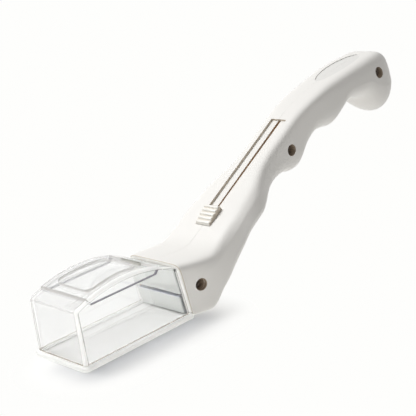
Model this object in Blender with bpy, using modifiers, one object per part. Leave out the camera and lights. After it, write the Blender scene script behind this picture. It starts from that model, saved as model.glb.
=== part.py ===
"""A hand-held spider catcher.

A clear chamber with a magnifier in its roof stands on an open frame. A flexible sheet slides in that frame
as the chamber's floor, and a thumb button in the handle draws it back. The handle is two moulded shells that
meet at Y = 0 and are held by three screws.

Metres, +Z up. X runs from the chamber to the handle's end and Y to the left. Z = 0 is the surface that the
catcher stands on, and X = 0 is under the middle of its whole length.
"""

import math

import bmesh
import bpy
import numpy as np
from mathutils import Matrix, Vector

# Clearances
fit = 0.0003
overrun = 0.004

# Chamber: the clear box, measured from its front foot
chamber_length = 0.0806
chamber_half_width = 0.0226
chamber_wall = 0.0018
chamber_draft = 0.0006
chamber_front_lean = 0.0006
roof_height = 0.0429
roof_peak_share = 0.46
roof_rise = 0.0083
seam_lean = 0.0046

# Cover and lens in the chamber's roof
cover_front = 0.0092
cover_rear_margin = 0.0185
cover_ledge_drop = 0.0077
cover_corner_drop = 0.0055
cover_corner_run = 0.0026
cover_step = 0.0005
cover_bulge = 0.0004
lens_front_margin = 0.0068
lens_rear_margin = 0.0078
lens_front_half_width = 0.0160
lens_rear_half_width = 0.0132
lens_corner = 0.0060
lens_crown = 0.0011
pull_slot_length = 0.0014
pull_slot_half_width = 0.0085
pull_slot_margin = 0.0016

# Base frame: the rim that the chamber stands on and the door slides in
frame_height = 0.0030
frame_rim = 0.0019
frame_corner = 0.0042
frame_round = 0.0011
frame_opening_front = 0.0024
groove_floor = 0.0010
groove_height = 0.0012
groove_depth = 0.0014

# Door: one flexible sheet, wide in the chamber and narrow in the handle
door_thickness = 0.0006
door_front = 0.0009
door_corner = 0.0030
tongue_half_width = 0.0080
tongue_thickness = 0.0004
bend_entry = 0.0130
bend_exit = 0.0090
bend_end_back = 0.0190

# Bulkhead and guides between chamber and handle
bulkhead_depth = 0.0030
bulkhead_gap = 0.0012
bulkhead_spigot = 0.0042
bulkhead_spigot_inset = 0.0032
side_slit_width = 0.0011
side_slit_depth = 0.0016
side_slit_end_margin = 0.0029
guide_foot = 0.0055
guide_step = 0.0008
guide_back = 0.0020
guide_clearance = 0.0010
ramp_half_width = 0.0170

# Handle: skins lofted along X in three zones, neck, slope and grip
handle_step = 0.0006
handle_wall = 0.0022
parting_gap = 0.00015
neck_length = 0.0374
neck_dip = 0.0016
neck_rise = 0.0067
slope_degrees = 30.4
slope_margin = 0.0012
grip_length = 0.094
grip_rise = 0.0237
dome_length = 0.017
dome_overrun = 0.0114
pole_depth = 0.0158

# Channel on the slope, and the thumb button in it
button_start = 0.0012
button_length = 0.0140
button_half_width = 0.0062
button_front_height = 0.0009
button_height = 0.0028
rib_height = 0.0007
rib_count = 5
channel_depth = 0.0015
slit_half_width = 0.0009
stem_half_width = 0.0006
stem_length = 0.0080
barb_width = 0.0006
barb_height = 0.0010
carriage_length = 0.014
carriage_half_width = 0.0050
carriage_thickness = 0.0016
door_reveal = 0.0037

# Oval recess on the grip
oval_length = 0.045
oval_half_width = 0.0080
oval_depth = 0.0005
oval_share = 0.665

# Screws and their bosses
screw_head_radius = 0.0028
screw_head_height = 0.0020
screw_shank_radius = 0.0015
screw_tip = 0.0012
screw_sunk = 0.0042
screw_cross_width = 0.0008
screw_cross_length = 0.0034
screw_cross_depth = 0.0010
recess_radius = 0.0038
boss_radius = 0.0050
boss_floor = 0.0020

# Counts of points and stations
ring_points = 15
roof_points = 14
round_steps = 24
bend_points = 14
disc_rings = 3
dome_steps = 5

# Shares along the door's path that the guide and the ramp follow, and along the neck at its dip
guide_path_shares = (0.06, 0.43)
ramp_path_shares = (0.26, 0.62)
neck_dip_share = 0.5

# The guide's top as a share of the seam's height
guide_top_share = 0.4364

# Shares along each zone at which the shell has a station
neck_station_shares = (
    0, 0.05, 0.12, 0.21, 0.29, 0.36, 0.4, 0.45, 0.51, 0.58, 0.66, 0.74, 0.82, 0.91, 1,
)
slope_station_shares = (
    0.07, 0.14, 0.2, 0.28, 0.35, 0.42, 0.49, 0.56, 0.62, 0.68, 0.74, 0.8, 0.86, 0.92, 1,
)
grip_station_shares = (
    0.05, 0.1, 0.15, 0.2, 0.25, 0.31, 0.37, 0.42, 0.47, 0.51, 0.55, 0.59, 0.64, 0.7, 0.77, 0.84, 0.9,
)
dome_turn_share = 0.93

# Half width along the handle: zone, share along it, share of the half width at the seam
width_shares = (
    ("neck", 0, 1),
    ("neck", 0.42, 1.195),
    ("neck", 0.9, 1.215),
    ("slope", 0.15, 1.245),
    ("slope", 0.375, 1.1),
    ("slope", 0.59, 0.728),
    ("slope", 0.9, 0.626),
    ("grip", 0.29, 0.672),
    ("grip", 0.66, 0.815),
    ("grip", 1, 0.857),
)

# Depth of the under line below the top line: zone, share along it, share of the seam's height
depth_shares = (
    ("neck", 0.63, 0.74),
    ("neck", 0.84, 0.69),
    ("slope", 0.075, 0.535),
    ("slope", 0.175, 0.445),
    ("slope", 0.275, 0.475),
    ("slope", 0.4, 0.565),
    ("slope", 0.5, 0.595),
    ("slope", 0.61, 0.56),
    ("slope", 0.725, 0.61),
    ("slope", 0.825, 0.711),
    ("slope", 0.925, 0.885),
    ("grip", 0.02, 0.965),
    ("grip", 0.106, 0.785),
    ("grip", 0.2, 0.695),
    ("grip", 0.3, 0.755),
    ("grip", 0.404, 0.84),
    ("grip", 0.49, 0.73),
    ("grip", 0.553, 0.62),
    ("grip", 0.64, 0.645),
    ("grip", 0.72, 0.7),
    ("grip", 0.79, 0.785),
    ("grip", 0.86, 1.03),
    ("grip", 0.93, 1.18),
    ("grip", 1, 1.265),
)
heel_share = 0.36

# How square the section is above and below its middle: zone, share along it, upper power, lower power
power_shares = (
    ("neck", 0, 9, 14),
    ("neck", 0.92, 4.9, 5.2),
    ("slope", 0.52, 5, 3.3),
    ("grip", 0.34, 4.8, 2.5),
    ("grip", 1, 3.6, 2),
)

# Top line in the grip: share along it, share of the grip's rise, slope as a share of the channel's slope
grip_top_shares = ((0.287, 0.47, 0.53), (0.606, 0.79, 0.33), (1, 1, 0.17))

# Screws: name, zone, share along it, share of the section's height from below
screw_shares = (
    ("front", "neck", 0.209, 0.554),
    ("middle", "slope", 0.905, 0.53),
    ("rear", "grip", 0.885, 0.691),
)

# Worked out from the sizes above
roof_peak_x = chamber_length * roof_peak_share
roof_reach = chamber_length - seam_lean - roof_peak_x
roof_radius = (roof_reach**2 + roof_rise**2) / (2 * roof_rise)
seam_height = roof_height - roof_rise
guide_top = seam_height * guide_top_share
chamber_foot = frame_height + fit
inner_half_width = chamber_half_width - chamber_wall
door_half_width = inner_half_width - fit
frame_half_width = chamber_half_width + frame_rim
frame_opening_half_width = door_half_width - groove_depth + fit
door_middle_z = groove_floor + groove_height / 2
handle_half_width = chamber_half_width + handle_step
travel = chamber_length - door_reveal
slope = math.radians(slope_degrees)
slope_rate = math.tan(slope)
slope_x = chamber_length + neck_length
slope_z = seam_height + neck_rise
channel_half_width = button_half_width + fit
channel_start = button_start - fit
channel_end = button_start + button_length + travel + fit
slope_length = channel_end + slope_margin
grip_x = slope_x + slope_length * math.cos(slope)
grip_z = slope_z + slope_length * math.sin(slope)
grip_end_x = grip_x + grip_length
handle_end_x = grip_end_x + dome_overrun
dome_x = handle_end_x - dome_length
frame_front_x = -frame_rim
pole_x = dome_x + dome_length * math.sin(dome_turn_share * math.pi / 2)
middle_x = (frame_front_x + pole_x) / 2
carriage_top = -handle_wall - fit
carriage_bottom = carriage_top - carriage_thickness
tongue_top = carriage_bottom - fit
tongue_bottom = tongue_top - tongue_thickness
button_middle = button_start + button_length / 2
zones = {
    "neck": (chamber_length, neck_length),
    "slope": (slope_x, grip_x - slope_x),
    "grip": (grip_x, grip_length),
}


def place(zone, share):
    """X at a share of the way along a zone of the handle."""
    start, length = zones[zone]
    return start + share * length


def smooth_line(x, knots, values, slopes=None):
    """A cubic through the knots, with the slopes given or else those of the chords beside each knot."""
    knots, values = np.asarray(knots, float), np.asarray(values, float)
    slopes = np.gradient(values, knots) if slopes is None else np.asarray(slopes, float)
    x = np.clip(x, knots[0], knots[-1])
    left = np.clip(np.searchsorted(knots, x) - 1, 0, len(knots) - 2)
    run = knots[left + 1] - knots[left]
    t = (x - knots[left]) / run
    start = (1 + 2 * t) * (1 - t) ** 2 * values[left] + t * (1 - t) ** 2 * run * slopes[left]
    return start + t**2 * ((3 - 2 * t) * values[left + 1] + (t - 1) * run * slopes[left + 1])


def top_line(x):
    """The handle's top: a dip in the neck, the straight slope, and a curve that flattens along the grip."""
    dip_x = place("neck", neck_dip_share)
    knots = [chamber_length, dip_x, slope_x, grip_x]
    values = [seam_height, seam_height - neck_dip, slope_z, grip_z]
    slopes = [-2 * neck_dip / neck_length, 0, slope_rate, slope_rate]
    for along, rise, slope_share in grip_top_shares:
        knots.append(place("grip", along))
        values.append(grip_z + rise * grip_rise)
        slopes.append(slope_share * slope_rate)
    return smooth_line(x, knots, values, slopes)


def under_line(x):
    """The handle's underside: flat under the heel, then at the listed depths below the top line."""
    knots = [place("neck", 0), place("neck", heel_share)]
    values = [0.0, 0.0]
    for zone, along, depth in depth_shares:
        knots.append(place(zone, along))
        values.append(float(top_line(knots[-1])) - depth * seam_height)
    slopes = np.gradient(np.array(values), np.array(knots))
    slopes[:2] = 0
    return smooth_line(x, knots, values, slopes)


def half_width_line(x):
    """Half the handle's width, from the listed shares of its half width at the seam."""
    knots = [place(zone, along) for zone, along, _ in width_shares]
    return smooth_line(x, knots, [share * handle_half_width for _, _, share in width_shares])


def steepness(line, x):
    """Length of the line for each unit of X, which turns a wall's thickness into a height."""
    step = fit
    rate = (line(x + step) - line(x - step)) / (2 * step)
    return np.sqrt(1 + rate**2)


def section(x, inset=0.0):
    """Middle, half height, half width and the two powers of the handle's section at X, set in by a wall."""
    x = np.asarray(x, float)
    body_x = np.minimum(x, grip_end_x)
    top = top_line(body_x) - inset * steepness(top_line, body_x)
    under = under_line(body_x) + inset * steepness(under_line, body_x)
    turn = np.clip((x - dome_x) / (dome_length - inset), 0, 1)
    dome = np.sqrt(1 - turn**2)
    knots = [place(zone, along) for zone, along, _, _ in power_shares]
    upper = np.interp(body_x, knots, [row[2] for row in power_shares])
    lower = np.interp(body_x, knots, [row[3] for row in power_shares])
    pole_z = grip_z + grip_rise - pole_depth
    middle = (top + under) / 2 * dome + pole_z * (1 - dome)
    return middle, (top - under) / 2 * dome, (half_width_line(body_x) - inset) * dome, upper, lower


def surface_top(x, y, inset=0.0):
    """Height of the handle's upper surface at X and Y."""
    middle, half, width, upper, _ = section(x, inset)
    return middle + half * (1 - np.minimum(np.abs(y) / width, 1) ** upper) ** (1 / upper)


def surface_side(x, z, inset=0.0):
    """Half width of the handle's surface at X and height Z."""
    middle, half, width, upper, lower = section(x, inset)
    power = np.where(z > middle, upper, lower)
    return width * (1 - np.minimum(np.abs(z - middle) / half, 1) ** power) ** (1 / power)


def roof_z(x, drop=0.0):
    """Height of the chamber's arched roof, or of the arc that lies a drop below it."""
    return roof_height - roof_radius + np.sqrt((roof_radius - drop) ** 2 - (x - roof_peak_x) ** 2)


def seam_x(z):
    """X of the leaning plane in which chamber and handle meet."""
    return chamber_length - seam_lean * z / seam_height


def door_path(t):
    """The door's middle line from the chamber floor up to the slope, a cubic with two end directions."""
    end = slope_point(-bend_end_back, (tongue_top + tongue_bottom) / 2)
    points = (
        (seam_x(0.0), door_middle_z),
        (seam_x(0.0) + bend_entry, door_middle_z),
        (end[0] - bend_exit * math.cos(slope), end[1] - bend_exit * math.sin(slope)),
        end,
    )
    weights = ((1 - t) ** 3, 3 * (1 - t) ** 2 * t, 3 * (1 - t) * t**2, t**3)
    return sum(np.outer(weight, point) for weight, point in zip(weights, points))


def slope_point(along, out):
    """X and Z of a point on the slope, from its run along the channel and its height over the surface."""
    x = slope_x + along * math.cos(slope) - out * math.sin(slope)
    return x, slope_z + along * math.sin(slope) + out * math.cos(slope)


def beside_path(t, distance):
    """Points beside the door's path, at a distance above it (or below it, when negative)."""
    step = 1 / (bend_points * bend_points)
    ahead = door_path(np.minimum(t + step, 1)) - door_path(np.maximum(t - step, 0))
    ahead /= np.linalg.norm(ahead, axis=1, keepdims=True)
    return door_path(t) + distance * np.stack([-ahead[:, 1], ahead[:, 0]], axis=1)


def new_collection(name):
    collection = bpy.data.collections.new(name)
    bpy.context.scene.collection.children.link(collection)
    return collection


def new_empty(name, location=(0, 0, 0), parent=None):
    empty = bpy.data.objects.new(name, None)
    empty.location = location
    empty.parent = parent
    parts.objects.link(empty)
    return empty


def new_material(name, colour, roughness, metallic=0.0, alpha=1.0):
    material = bpy.data.materials.new(name)
    material.use_nodes = True
    shader = material.node_tree.nodes["Principled BSDF"]
    shader.inputs["Base Color"].default_value = (*colour, 1)
    shader.inputs["Roughness"].default_value = roughness
    shader.inputs["Metallic"].default_value = metallic
    shader.inputs["Alpha"].default_value = alpha
    return material


def new_object(name, shape, parent, material=None):
    """An object from a bmesh. Without a material it is a hidden cutter."""
    mesh = bpy.data.meshes.new(name)
    bmesh.ops.recalc_face_normals(shape, faces=shape.faces)
    shape.to_mesh(mesh)
    shape.free()
    made = bpy.data.objects.new(name, mesh)
    made.parent = parent
    if material:
        mesh.materials.append(material)
        parts.objects.link(made)
    else:
        cutters.objects.link(made)
        made.hide_render = True
        made.display_type = "WIRE"
    return made


def box(name, low, high, parent, material=None):
    shape = bmesh.new()
    bmesh.ops.create_cube(shape, size=1)
    low, high = Vector(low), Vector(high)
    size = high - low
    bmesh.ops.scale(shape, vec=size, verts=shape.verts)
    bmesh.ops.translate(shape, vec=(low + high) / 2, verts=shape.verts)
    return new_object(name, shape, parent, material)


def cylinder_across(name, radius, x, z, start, end, parent, material=None):
    """A cylinder along Y from start to end."""
    shape = bmesh.new()
    bmesh.ops.create_cone(
        shape, cap_ends=True, segments=round_steps, radius1=radius, radius2=radius, depth=end - start
    )
    bmesh.ops.rotate(shape, matrix=Matrix.Rotation(-math.pi / 2, 3, "X"), verts=shape.verts)
    bmesh.ops.translate(shape, vec=(x, (start + end) / 2, z), verts=shape.verts)
    return new_object(name, shape, parent, material)


def flat_outline(name, outline, thickness):
    """A bmesh of a flat outline in XY, extruded by half the thickness to each side of Z = 0."""
    curve = bpy.data.curves.new(name, "CURVE")
    curve.dimensions = "2D"
    curve.fill_mode = "BOTH"
    curve.extrude = thickness / 2
    spline = curve.splines.new("POLY")
    spline.points.add(len(outline) - 1)
    for point, place_in_plane in zip(spline.points, outline):
        point.co = (*place_in_plane, 0, 1)
    spline.use_cyclic_u = True
    guide = bpy.data.objects.new(name, curve)
    cutters.objects.link(guide)
    graph = bpy.context.evaluated_depsgraph_get()
    mesh = bpy.data.meshes.new_from_object(guide.evaluated_get(graph))
    shape = bmesh.new()
    shape.from_mesh(mesh)
    bmesh.ops.remove_doubles(shape, verts=shape.verts, dist=fit / round_steps)
    bpy.data.objects.remove(guide)
    bpy.data.meshes.remove(mesh)
    return shape


def prism(name, outline, low, high, parent, material=None, across="Y"):
    """A flat outline carried along an axis: an X-Z outline from low to high in Y, or an X-Y one in Z."""
    shape = flat_outline(name, outline, high - low)
    if across == "Y":
        bmesh.ops.rotate(shape, matrix=Matrix.Rotation(math.pi / 2, 3, "X"), verts=shape.verts)
        bmesh.ops.translate(shape, vec=(0, (low + high) / 2, 0), verts=shape.verts)
    else:
        bmesh.ops.translate(shape, vec=(0, 0, (low + high) / 2), verts=shape.verts)
    return new_object(name, shape, parent, material)


def lean_in(target):
    """Draws the sides of a chamber piece in towards its top, by the chamber's draft."""
    for vertex in target.data.vertices:
        vertex.co.y *= 1 - chamber_draft / chamber_half_width * vertex.co.z / seam_height


def combine(target, other, operation):
    modifier = target.modifiers.new(other.name, "BOOLEAN")
    modifier.operation = operation
    modifier.object = other
    modifier.solver = "EXACT"


def cut(target, *others):
    for other in others:
        combine(target, other, "DIFFERENCE")


def join(target, *others):
    for other in others:
        combine(target, other, "UNION")


def rounded_corners(corners, radius):
    """An outline with each corner replaced by an arc that starts and ends the same way from it."""
    points = []
    count = len(corners)
    for index in range(count):
        before, corner, after = (
            np.array(corners[(index + step) % count], float) for step in (-1, 0, 1)
        )
        back = (before - corner) / np.linalg.norm(before - corner)
        forth = (after - corner) / np.linalg.norm(after - corner)
        for t in np.linspace(0, 1, round_steps // 4):
            pull = (1 - t) ** 2 * back + t**2 * forth
            points.append(tuple(corner + radius * pull))
    return points


def dished_disc(name, outline, top, bottom, parent, material=None):
    """A disc of the outline whose faces follow top(x, y, share) and bottom(x, y, share), share being 0 at the
    middle and 1 at the rim."""
    outline = np.array(outline)
    centre = (outline.min(axis=0) + outline.max(axis=0)) / 2
    shape = bmesh.new()
    faces = []
    for height in (top, bottom):
        middle = shape.verts.new((*centre, float(height(*centre, 0.0))))
        rings = []
        for ring in range(1, disc_rings + 1):
            share = ring / disc_rings
            around = centre + (outline - centre) * share
            rings.append([shape.verts.new((x, y, float(height(x, y, share)))) for x, y in around])
        faces.append((middle, rings))
    count = len(outline)
    for middle, rings in faces:
        for index in range(count):
            following = (index + 1) % count
            shape.faces.new((middle, rings[0][index], rings[0][following]))
            for inner, outer in zip(rings, rings[1:]):
                shape.faces.new((inner[index], outer[index], outer[following], inner[following]))
    upper, lower = faces[0][1][-1], faces[1][1][-1]
    for index in range(count):
        following = (index + 1) % count
        shape.faces.new((upper[index], lower[index], lower[following], upper[following]))
    return new_object(name, shape, parent, material)


def chamber_side(inset, foot, rear_gap):
    """The chamber's outline from the side: upright front, leaning rear and arched roof."""
    front_top_x = chamber_front_lean + inset
    rear_top_x = seam_x(seam_height) - rear_gap
    arc_x = np.linspace(rear_top_x, front_top_x, roof_points)
    outline = [(inset, foot), (seam_x(foot) - rear_gap, foot)]
    return outline + [(x, float(roof_z(x, inset))) for x in arc_x]


def chamber_box():
    made = prism(
        "chamber_box",
        chamber_side(0.0, chamber_foot, fit / 2),
        -chamber_half_width,
        chamber_half_width,
        housing,
        clear_plastic,
    )
    cavity = prism(
        "chamber_cavity",
        chamber_side(chamber_wall, -overrun, -overrun),
        -inner_half_width,
        inner_half_width,
        housing,
    )
    for each in (made, cavity):
        lean_in(each)
    opening = prism(
        "cover_opening", cover_outline(0.0, True), -frame_half_width, frame_half_width, housing
    )
    cut(made, cavity, opening)


def cover_outline(inset, cutter):
    """The cover from the side: a level ledge, two slanted corners, and the roof's arc or, on the cutter, a
    flat top clear over it."""
    front = cover_front + inset
    rear = chamber_length - cover_rear_margin - inset
    ledge = roof_height - cover_ledge_drop + inset
    corner = roof_height - cover_corner_drop + inset
    outline = [
        (front + cover_step, corner),
        (front + cover_corner_run, ledge),
        (rear - cover_corner_run, ledge),
        (rear - cover_step, corner),
    ]
    if cutter:
        return outline + [(rear, roof_height + overrun), (front, roof_height + overrun)]
    arc_x = np.linspace(rear, front, roof_points)
    return outline + [(x, float(roof_z(x)) + cover_bulge) for x in arc_x]


def lens_outline(inset):
    """The magnifier from above: wide at the front, narrower at the rear, with round corners."""
    front = cover_front + lens_front_margin + inset
    rear = chamber_length - cover_rear_margin - lens_rear_margin - inset
    wide, narrow = lens_front_half_width - inset, lens_rear_half_width - inset
    corners = ((front, -wide), (rear, -narrow), (rear, narrow), (front, wide))
    return rounded_corners(corners, lens_corner)


def lens_cover():
    side = chamber_half_width - chamber_draft + cover_bulge
    made = prism("lens_cover", cover_outline(fit, False), -side, side, housing, clear_plastic)
    inner_side = side - chamber_wall
    hollow_x = np.linspace(-overrun, chamber_length + overrun, roof_points)
    arc = [(x, float(roof_z(x, chamber_wall)) + cover_bulge) for x in hollow_x[::-1]]
    low = [(hollow_x[0], 0.0), (hollow_x[-1], 0.0)]
    hollow = prism("cover_hollow", low + arc, -inner_side, inner_side, housing)
    above = roof_height + overrun
    opening = prism("lens_opening", lens_outline(0.0), seam_height - overrun, above, housing, across="Z")
    slot_rear = chamber_length - cover_rear_margin - pull_slot_margin
    pull_slot = box(
        "pull_slot",
        (slot_rear - pull_slot_length, -pull_slot_half_width, seam_height),
        (slot_rear, pull_slot_half_width, above),
        housing,
    )
    cut(made, hollow, opening, pull_slot)


def magnifier_lens():
    """A lens as thick as the roof at its rim, crowned on both faces."""

    def top(x, y, share):
        return roof_z(x) + cover_bulge + lens_crown * (1 - share**2)

    def bottom(x, y, share):
        return roof_z(x, chamber_wall) + cover_bulge - lens_crown * (1 - share**2)

    made = dished_disc("magnifier_lens", lens_outline(fit), top, bottom, housing, lens_plastic)
    made.data.shade_smooth()
    made.data.set_sharp_from_angle(angle=slope)


def base_frame():
    """A rim round the chamber's foot, open at the rear, with a groove for the door in its inner faces."""
    rear = seam_x(frame_height) - fit
    corners = (
        (frame_front_x, -frame_half_width),
        (rear + frame_corner, -frame_half_width),
        (rear + frame_corner, frame_half_width),
        (frame_front_x, frame_half_width),
    )
    outline = rounded_corners(corners, frame_corner)
    made = prism("base_frame", outline, 0.0, frame_height, housing, rim_plastic, across="Z")
    bevel = made.modifiers.new("round edges", "BEVEL")
    bevel.width = frame_round
    bevel.segments = 2
    bevel.limit_method = "ANGLE"
    beyond = rear + frame_corner + overrun
    opening_half = frame_opening_half_width
    opening = box(
        "frame_opening",
        (frame_opening_front, -opening_half, -overrun),
        (beyond, opening_half, frame_height + overrun),
        housing,
    )
    groove_half = opening_half + groove_depth
    groove = box(
        "door_groove",
        (frame_opening_front - groove_depth - fit, -groove_half, groove_floor),
        (beyond, groove_half, groove_floor + groove_height),
        housing,
    )
    rear_cut = box(
        "frame_rear_cut",
        (rear, -frame_half_width - overrun, -overrun),
        (beyond, frame_half_width + overrun, frame_height + overrun),
        housing,
    )
    cut(made, opening, groove, rear_cut)


def door_sheet():
    half = door_half_width
    rear = seam_x(door_middle_z) - fit
    low, high = door_middle_z - door_thickness / 2, door_middle_z + door_thickness / 2
    corners = ((door_front, -half), (rear, -half), (rear, half), (door_front, half))
    outline = rounded_corners(corners, door_corner)
    made = prism("door_sheet", outline, low, high, door_axis, door_plastic, across="Z")
    made.matrix_parent_inverse = Matrix.Translation(-door_axis.location)


def door_bend():
    """The narrow tongue of the door, from the chamber's floor up to the slope."""
    t = np.linspace(0, 1, bend_points)
    half = tongue_thickness / 2
    outline = [*beside_path(t, half), *beside_path(t[::-1], -half)]
    made = prism(
        "door_bend",
        [tuple(point) for point in outline],
        -tongue_half_width,
        tongue_half_width,
        slider_axis,
        door_plastic,
    )
    made.matrix_parent_inverse = slope_frame.inverted()


def bulkhead():
    """The upper block that closes the chamber's rear. It has a spigot into the handle and side slits."""
    low = guide_top + bulkhead_gap
    face_low, face_high = seam_x(low) - bulkhead_depth, seam_x(seam_height) - bulkhead_depth
    back_high = seam_x(seam_height) - fit / 2
    top_front = float(roof_z(face_high, chamber_wall)) - fit
    top_back = float(roof_z(back_high, chamber_wall)) - fit
    outline = [(face_low, low), (seam_x(low) - fit / 2, low), (back_high, top_back), (face_high, top_front)]
    half = inner_half_width - fit
    made = prism("bulkhead", outline, -half, half, housing, panel_plastic)
    lean_in(made)
    inset = bulkhead_spigot_inset
    spigot = box(
        "bulkhead_spigot_block",
        (face_high + bulkhead_depth / 2, -half + inset, low + inset),
        (seam_x(low) + bulkhead_spigot, half - inset, top_back - inset),
        housing,
    )
    join(made, spigot)
    slit_low, slit_high = low + side_slit_end_margin, top_back - side_slit_end_margin
    for side, sign in (("right", -1), ("left", 1)):
        slit_outline = [
            (seam_x(z) - bulkhead_depth / 2 + shift * side_slit_width / 2, z)
            for z, shift in ((slit_low, -1), (slit_low, 1), (slit_high, 1), (slit_high, -1))
        ]
        near, far = sorted((sign * (half - side_slit_depth), sign * (half + overrun)))
        cut(made, prism(f"bulkhead_slit_{side}", slit_outline, near, far, housing))


def door_guide():
    """The lower block: its front closes the chamber's rear and its curved foot turns the door upwards."""
    face = seam_x(guide_foot) - bulkhead_depth
    step_x = face + guide_step
    underside = beside_path(np.linspace(*guide_path_shares, bend_points), guide_clearance)
    underside = [tuple(point) for point in underside if point[0] > step_x + guide_step]
    foot_z = underside[0][1]
    outline = [
        (seam_x(guide_top) - bulkhead_depth, guide_top),
        (face, guide_foot),
        (step_x, guide_foot),
        (step_x, foot_z),
        *underside,
        (seam_x(guide_top) + guide_back, guide_top),
    ]
    half = inner_half_width - chamber_wall
    prism("door_guide", outline, -half, half, housing, panel_plastic)


def door_ramp():
    """The lower ramp on the heel's floor, which carries the door up behind the guide."""
    along = np.linspace(*ramp_path_shares, bend_points)
    upper = [tuple(point) for point in beside_path(along, -guide_clearance)]
    edge_x = np.linspace(upper[-1][0] + fit, upper[0][0], bend_points)
    inner_floor = under_line(edge_x) + handle_wall * steepness(under_line, edge_x) + 2 * fit
    lower = [(x, float(z)) for x, z in zip(edge_x, inner_floor)]
    prism("door_ramp", upper + lower, -ramp_half_width, ramp_half_width, housing, panel_plastic)


def shell_stations(inset):
    """X of each section of a skin. The dome's last ones crowd towards the pole."""
    shares = (("neck", neck_station_shares), ("slope", slope_station_shares), ("grip", grip_station_shares))
    body = [place(zone, share) for zone, row in shares for share in row]
    turns = np.linspace(0, dome_turn_share * math.pi / 2, dome_steps + 1)
    return np.array([*body, *(dome_x + (dome_length - inset) * np.sin(turns))])


def half_skin(inset, side):
    """Points of half a skin, stations by points from the under line round to the top line."""
    x = shell_stations(inset)[:, None]
    turn = np.linspace(-math.pi / 2, math.pi / 2, ring_points)[None, :]
    middle, half, width, upper, lower = section(x, inset)
    power = np.where(turn < 0, lower, upper)
    reach = np.abs(np.cos(turn)) ** (2 / power)
    reach[:, (0, -1)] = 0
    y = side * (parting_gap + (width - parting_gap) * reach)
    z = middle + half * np.sign(turn) * np.abs(np.sin(turn)) ** (2 / power)
    fade = np.clip(1 - (x - chamber_length) / (heel_share * neck_length), 0, 1)
    x = x + fit / 2 * (x == chamber_length) - seam_lean * z / seam_height * fade
    return np.stack([x + 0 * y, y, z], axis=-1)


def half_shell(name, side, material):
    """One handle shell: an outer and an inner skin, joined round the parting line and the open front."""
    outer, inner = half_skin(0.0, side), half_skin(handle_wall, side)
    shape = bmesh.new()
    grids = [[[shape.verts.new(point) for point in ring] for ring in skin] for skin in (outer, inner)]
    outside, inside = grids
    last = ring_points - 1
    for skin in grids:
        for ring, following in zip(skin, skin[1:]):
            for point in range(last):
                shape.faces.new((ring[point], ring[point + 1], following[point + 1], following[point]))
        shape.faces.new(skin[-1])
    for point in range(last):
        shape.faces.new((outside[0][point], outside[0][point + 1], inside[0][point + 1], inside[0][point]))
    for point in (0, last):
        for station in range(len(outside) - 1):
            shape.faces.new(
                (
                    outside[station][point],
                    outside[station + 1][point],
                    inside[station + 1][point],
                    inside[station][point],
                )
            )
    shape.faces.new((outside[-1][0], outside[-1][last], inside[-1][last], inside[-1][0]))
    made = new_object(name, shape, housing, material)
    made.data.shade_smooth()
    made.data.set_sharp_from_angle(angle=slope)
    return made


def screw_places():
    for name, zone, along, height in screw_shares:
        x = place(zone, along)
        low, high = float(under_line(x)), float(top_line(x))
        z = low + height * (high - low)
        yield name, x, z, float(surface_side(x, z))


def boss(name, side, x, z):
    """A boss from the parting plane out into the middle of the side wall, whose surface its end follows."""
    start, end = sorted((side * parting_gap, side * handle_half_width))
    made = cylinder_across(name, boss_radius, x, z, start, end, housing)
    for vertex in made.data.vertices:
        if abs(vertex.co.y) > handle_half_width / 2:
            vertex.co.y = side * float(surface_side(vertex.co.x, vertex.co.z, handle_wall / 2))
    return made


def handle_shells():
    shells = {
        -1: half_shell("handle_shell_right", -1, shell_plastic),
        1: half_shell("handle_shell_left", 1, shell_plastic),
    }
    for name, x, z, reach in screw_places():
        for side, label in ((-1, "right"), (1, "left")):
            join(shells[side], boss(f"boss_{name}_{label}", side, x, z))
        seat = reach - screw_sunk - screw_head_height - fit
        hole = screw_shank_radius + fit
        recess = cylinder_across(f"recess_{name}", recess_radius, x, z, -reach - overrun, -seat, housing)
        through = cylinder_across(f"through_hole_{name}", hole, x, z, -seat - overrun, overrun, housing)
        blind_end = reach - handle_wall - boss_floor
        blind = cylinder_across(f"blind_hole_{name}", hole, x, z, -overrun, blind_end, housing)
        cut(shells[-1], recess, through)
        cut(shells[1], blind)
    channel = box(
        "thumb_channel",
        (channel_start, -channel_half_width, -channel_depth),
        (channel_end, channel_half_width, overrun),
        slope_empty,
    )
    slit = box(
        "thumb_slit",
        (channel_start + fit, -slit_half_width, -handle_wall - overrun),
        (channel_end - fit, slit_half_width, overrun),
        slope_empty,
    )
    oval_x = place("grip", oval_share)
    turns = np.linspace(0, 2 * math.pi, 2 * round_steps, endpoint=False)
    oval = [(oval_x + oval_length / 2 * math.cos(a), oval_half_width * math.sin(a)) for a in turns]
    recess = dished_disc(
        "oval_recess",
        oval,
        lambda x, y, share: surface_top(x, y) + overrun,
        lambda x, y, share: surface_top(x, y) - oval_depth,
        housing,
    )
    pocket = box(
        "heel_pocket",
        (chamber_length - overrun, -inner_half_width, groove_floor),
        (chamber_length + bend_entry / 2, inner_half_width, groove_floor + 2 * groove_height),
        housing,
    )
    for shell in shells.values():
        cut(shell, channel, slit, recess, pocket)


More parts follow.
